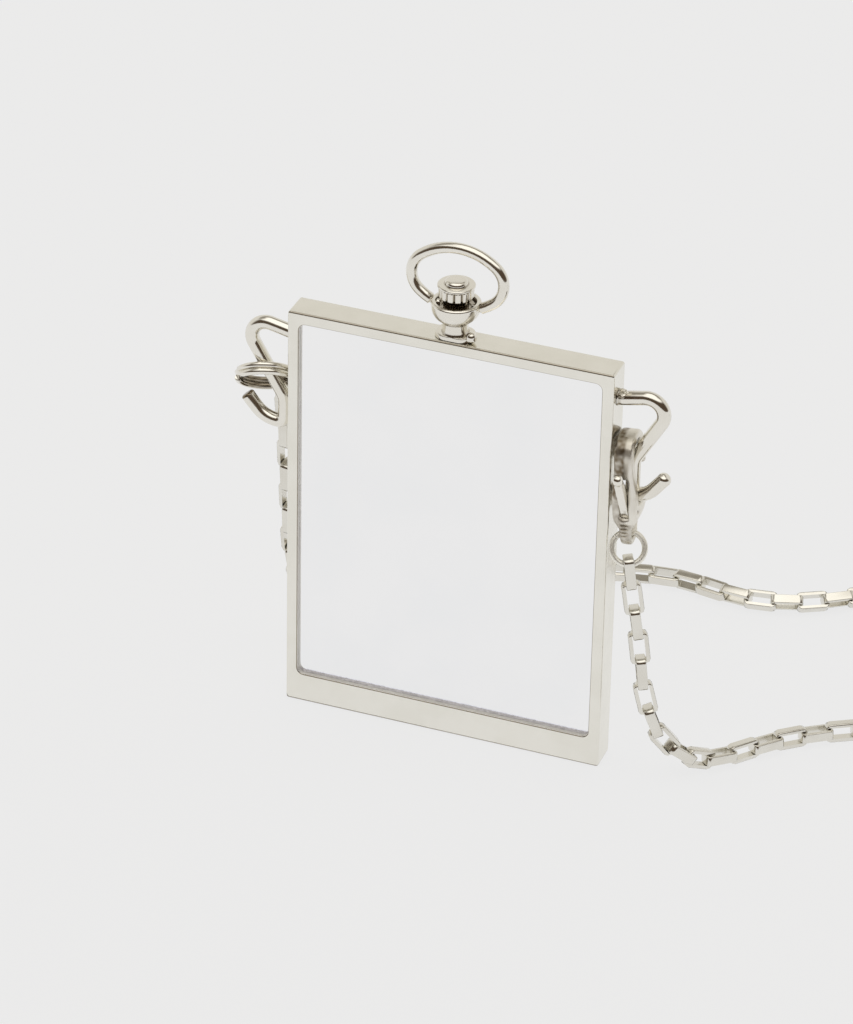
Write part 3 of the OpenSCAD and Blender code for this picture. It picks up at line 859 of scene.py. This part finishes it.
# %% Wind the jump ring
JUMP_R, JUMP_WIRE, JUMP_CUT = 1.8, 0.66, 0.05
JUMP_MID = Vector((21.12, -1.72, 29.1))
jump_ring = start_wire("jump_ring_wire", (JUMP_R, 0, 0), (0, 1, 0), JUMP_WIRE, 20)
bend((0, 0, 0), (0, 0, 1), 2 * math.pi - JUMP_CUT / JUMP_R)
end_wire(jump_ring, 0.04, 2)
jump_ring.matrix_world = (Matrix.Translation(JUMP_MID * MM)
                          @ Matrix.Rotation(math.radians(20), 4, "Z")
                          @ Matrix.Rotation(math.radians(59), 4, "X")
                          @ Matrix.Rotation(math.radians(140), 4, "Z"))
only(jump_ring)
bpy.ops.object.transform_apply(location=True, rotation=True, scale=True)
finish_metal(jump_ring, ring_plating, "root", ["jump_ring"])

# %% [markdown]
# ## The clasp
# A lobster clasp is cast and then tumbled, so all its edges are soft. A remesh covers a
# copy of the solid with small even faces, and a smooth modifier rubs the edges down, as
# tumbling does. Rubbing also makes a piece thinner, so it is swollen a little afterwards.
# Balls are added first, which the remesh melts into the rest: a knob under the lever's
# foot, and the lever's round thumb end. The fine ridges round the neck over the eye would
# not survive the tumbling, so these flattened balls are added after it. The half of the
# body that faces the front and the case gets a painted dark reflection, broken into blots
# by a noise of the place.

# %% Tumble the clasp and its lever
def add_lumps(piece, lumps):
    """Joins flattened balls, each a place and three half sizes in mm, to a piece."""
    for place, size in lumps:
        bpy.ops.object.select_all(action="DESELECT")
        bpy.ops.mesh.primitive_uv_sphere_add(segments=24, ring_count=12, radius=MM,
                                             location=Vector(place) * MM, scale=size)
        lump = bpy.context.object
        bpy.ops.object.transform_apply(location=True, rotation=True, scale=True)
        lump.select_set(True)
        piece.select_set(True)
        bpy.context.view_layer.objects.active = piece
        bpy.ops.object.join()


def tumbled(solid, name, grid, passes, lumps, swell):
    """A copy of a solid with lumps added and soft edges, swollen back to its size."""
    piece = joined_copy(solid, name)
    add_lumps(piece, lumps)
    only(piece)
    bpy.ops.object.modifier_add(type="REMESH")
    remesh = piece.modifiers[-1]
    remesh.mode = "VOXEL"
    remesh.voxel_size = grid * MM
    bpy.ops.object.modifier_apply(modifier=remesh.name)
    bpy.ops.object.modifier_add(type="SMOOTH")
    rub = piece.modifiers[-1]
    rub.factor = 0.5
    rub.iterations = passes
    bpy.ops.object.modifier_apply(modifier=rub.name)
    bpy.ops.object.mode_set(mode="EDIT")
    bpy.ops.mesh.select_all(action="SELECT")
    bpy.ops.transform.shrink_fatten(value=swell * MM)
    bpy.ops.object.mode_set(mode="OBJECT")
    return piece


KNOB = [((20.62, -2.25, 32.75), (0.6, 0.5, 0.42))]
RIDGES = [((20.76, -0.86, 30.75), (0.86, 1.6, 0.15)), ((20.73, -0.87, 31.2), (0.88, 1.65, 0.15)),
          ((20.71, -0.87, 31.65), (0.92, 1.7, 0.16)), ((20.68, -0.88, 32.1), (0.98, 1.75, 0.17))]
RIVET_AT, RIVET_WAY = Vector((20.593, -1.264, 33.541)), Vector((0.9964, 0.0522, 0.0663))
clasp = tumbled("clasp_body", "clasp_body_cast", 0.08, 70, KNOB, 0.1)
add_lumps(clasp, RIDGES)
finish_metal(clasp, clasp_plating, "root", ["clasp_body"], angle=60)


def clasp_painted_reflection(p, n):
    """Painted dark reflection in blots on the half towards the front and the case, and a little
    on the neck.
    """
    blots = 0.65 + 0.6 * blotch.noise(p * 2.2)
    if p.z < 32.4:
        return 0.6 * blots * min(1, max(0, -n.y) + max(0, -n.x))
    aside = (p - RIVET_AT).dot(RIVET_WAY)
    edge = 0.35 if n.y < -0.3 else 0
    return (1.1 if p.z > 35 else 0.5) * blots * min(1, max(0, edge - aside) / 0.3)


tarnish_and_shade(clasp, clasp_painted_reflection)
THUMB = [((20.40, -4.3, 38.8), (0.6, 0.62, 0.6))]
lever = tumbled("clasp_lever", "clasp_lever_pressed", 0.06, 9, THUMB, 0.01)
pick_points(lever, lambda p: p.z > 37.9)
bpy.ops.mesh.vertices_smooth(factor=0.5, repeat=40)
bpy.ops.object.mode_set(mode="OBJECT")
finish_metal(lever, bright, "clasp_lever", ["clasp_lever"], angle=60)

# %% [markdown]
# ## The rivet
# The lever turns on a plain rivet. Its ends are pressed down a little below the cheeks
# and are slightly domed.

# %% Dome the rivet
rivet = joined_copy("clasp_pin", "clasp_rivet", flat=1)
pin_low, pin_high = (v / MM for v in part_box("clasp_pin"))
pin_mid = (pin_low + pin_high) / 2
pick_edges(rivet, lambda a, b: (a.x - pin_mid.x) * (b.x - pin_mid.x) > 0)
soften(rivet, 0.12, 3)
finish_metal(rivet, bright, "root", ["clasp_pin"])

# %% [markdown]
# ## One link
# The chain has about two hundred flat links, each at right angles to the next. One link
# is modelled and copied. It is a cube of the link's size whose two wide faces are inset,
# opened and bridged, which leaves a frame, and its two ends are then made thinner than
# its long sides. Its corners are rounded, and its outer rims are bevelled once, because
# they catch the light as thin lines. There are so many links that each may have only a
# few dozen faces.

# %% Model one link
LINK_L, LINK_W, LINK_B = 3.84, 2.2, 1.12
LINK_T, LINK_END_T = 0.44, 0.3
bpy.ops.object.select_all(action="DESELECT")
bpy.ops.mesh.primitive_cube_add(size=1, scale=(LINK_L * MM, LINK_W * MM, LINK_B * MM))
link = bpy.context.object
link.name = "one_link"
bpy.ops.object.transform_apply(location=True, rotation=True, scale=True)
bpy.ops.object.mode_set(mode="EDIT")
bpy.ops.mesh.select_mode(type="FACE")
bpy.ops.mesh.select_all(action="DESELECT")
bpy.ops.object.mode_set(mode="OBJECT")
for face in link.data.polygons:
    face.select = abs(face.normal.z) > 0.9
bpy.ops.object.mode_set(mode="EDIT")
bpy.ops.mesh.inset(thickness=LINK_T * MM, depth=0, use_individual=True)
bpy.ops.mesh.delete(type="FACE")
bpy.ops.object.mode_set(mode="OBJECT")


def in_hole(p):
    """True for a point on the outline of the link's hole."""
    return (abs(p.x) < LINK_L / 2 - 0.9 * LINK_END_T
            and abs(p.y) < LINK_W / 2 - 0.9 * LINK_T)


pick_edges(link, lambda a, b: in_hole(a) and in_hole(b))
bpy.ops.mesh.bridge_edge_loops()
bpy.ops.mesh.select_mode(type="VERT")
longer = (LINK_L / 2 - LINK_END_T) / (LINK_L / 2 - LINK_T)
bpy.ops.transform.resize(value=(longer, 1, 1), center_override=(0, 0, 0))
bpy.ops.object.mode_set(mode="OBJECT")
pick_edges(link, lambda a, b: a.z * b.z < 0 and not in_hole(a))
soften(link, 0.55, 2)
pick_edges(link, lambda a, b: a.z * b.z > 0 and not in_hole(a) and not in_hole(b))
soften(link, 0.09, 1)
only(link)
bpy.ops.object.mode_set(mode="EDIT")
bpy.ops.mesh.select_all(action="SELECT")
bpy.ops.mesh.normals_make_consistent(inside=False)
bpy.ops.object.mode_set(mode="OBJECT")
print("one link:", len(link.data.polygons), "faces")

# %% [markdown]
# ## The chain
# Each link of the solids says where one link goes: its middle is the mean of its points,
# and its length, width and height are the directions in which those points spread most,
# less and least. A copy of the modelled link with its own mesh is put on each, and the
# copies of each half are joined.

# %% Hang the links
def linked(solid, name):
    """Copies of the modelled link on all the links of a solid, joined."""
    joined_copy(solid, "measured")
    bpy.ops.object.mode_set(mode="EDIT")
    bpy.ops.mesh.select_all(action="SELECT")
    bpy.ops.mesh.separate(type="LOOSE")
    bpy.ops.object.mode_set(mode="OBJECT")
    measured = list(bpy.context.selected_objects)
    copies = []
    for old in measured:
        spots = np.array([v.co for v in old.data.vertices])
        middle = spots.mean(0)
        axes = np.linalg.eigh(np.cov((spots - middle).T))[1]
        along, across = Vector(axes[:, 2]), Vector(axes[:, 1])
        place = Matrix((along, across, along.cross(across))).transposed().to_4x4()
        copy = link.copy()
        copy.data = link.data.copy()
        copy.data.transform(Matrix.Translation(middle) @ place)
        bpy.context.scene.collection.objects.link(copy)
        copies.append(copy)
        bpy.data.objects.remove(old)
    bpy.ops.object.select_all(action="DESELECT")
    for copy in copies:
        copy.select_set(True)
    bpy.context.view_layer.objects.active = copies[0]
    bpy.ops.object.join()
    chain = copies[0]
    chain.name = chain.data.name = name
    print(name, len(copies), "links")
    finish_metal(chain, chain_plating, "root", [solid], angle=50)


linked("chain_front", "chain_front_links")
linked("chain_back", "chain_back_links")
bpy.data.objects.remove(link)
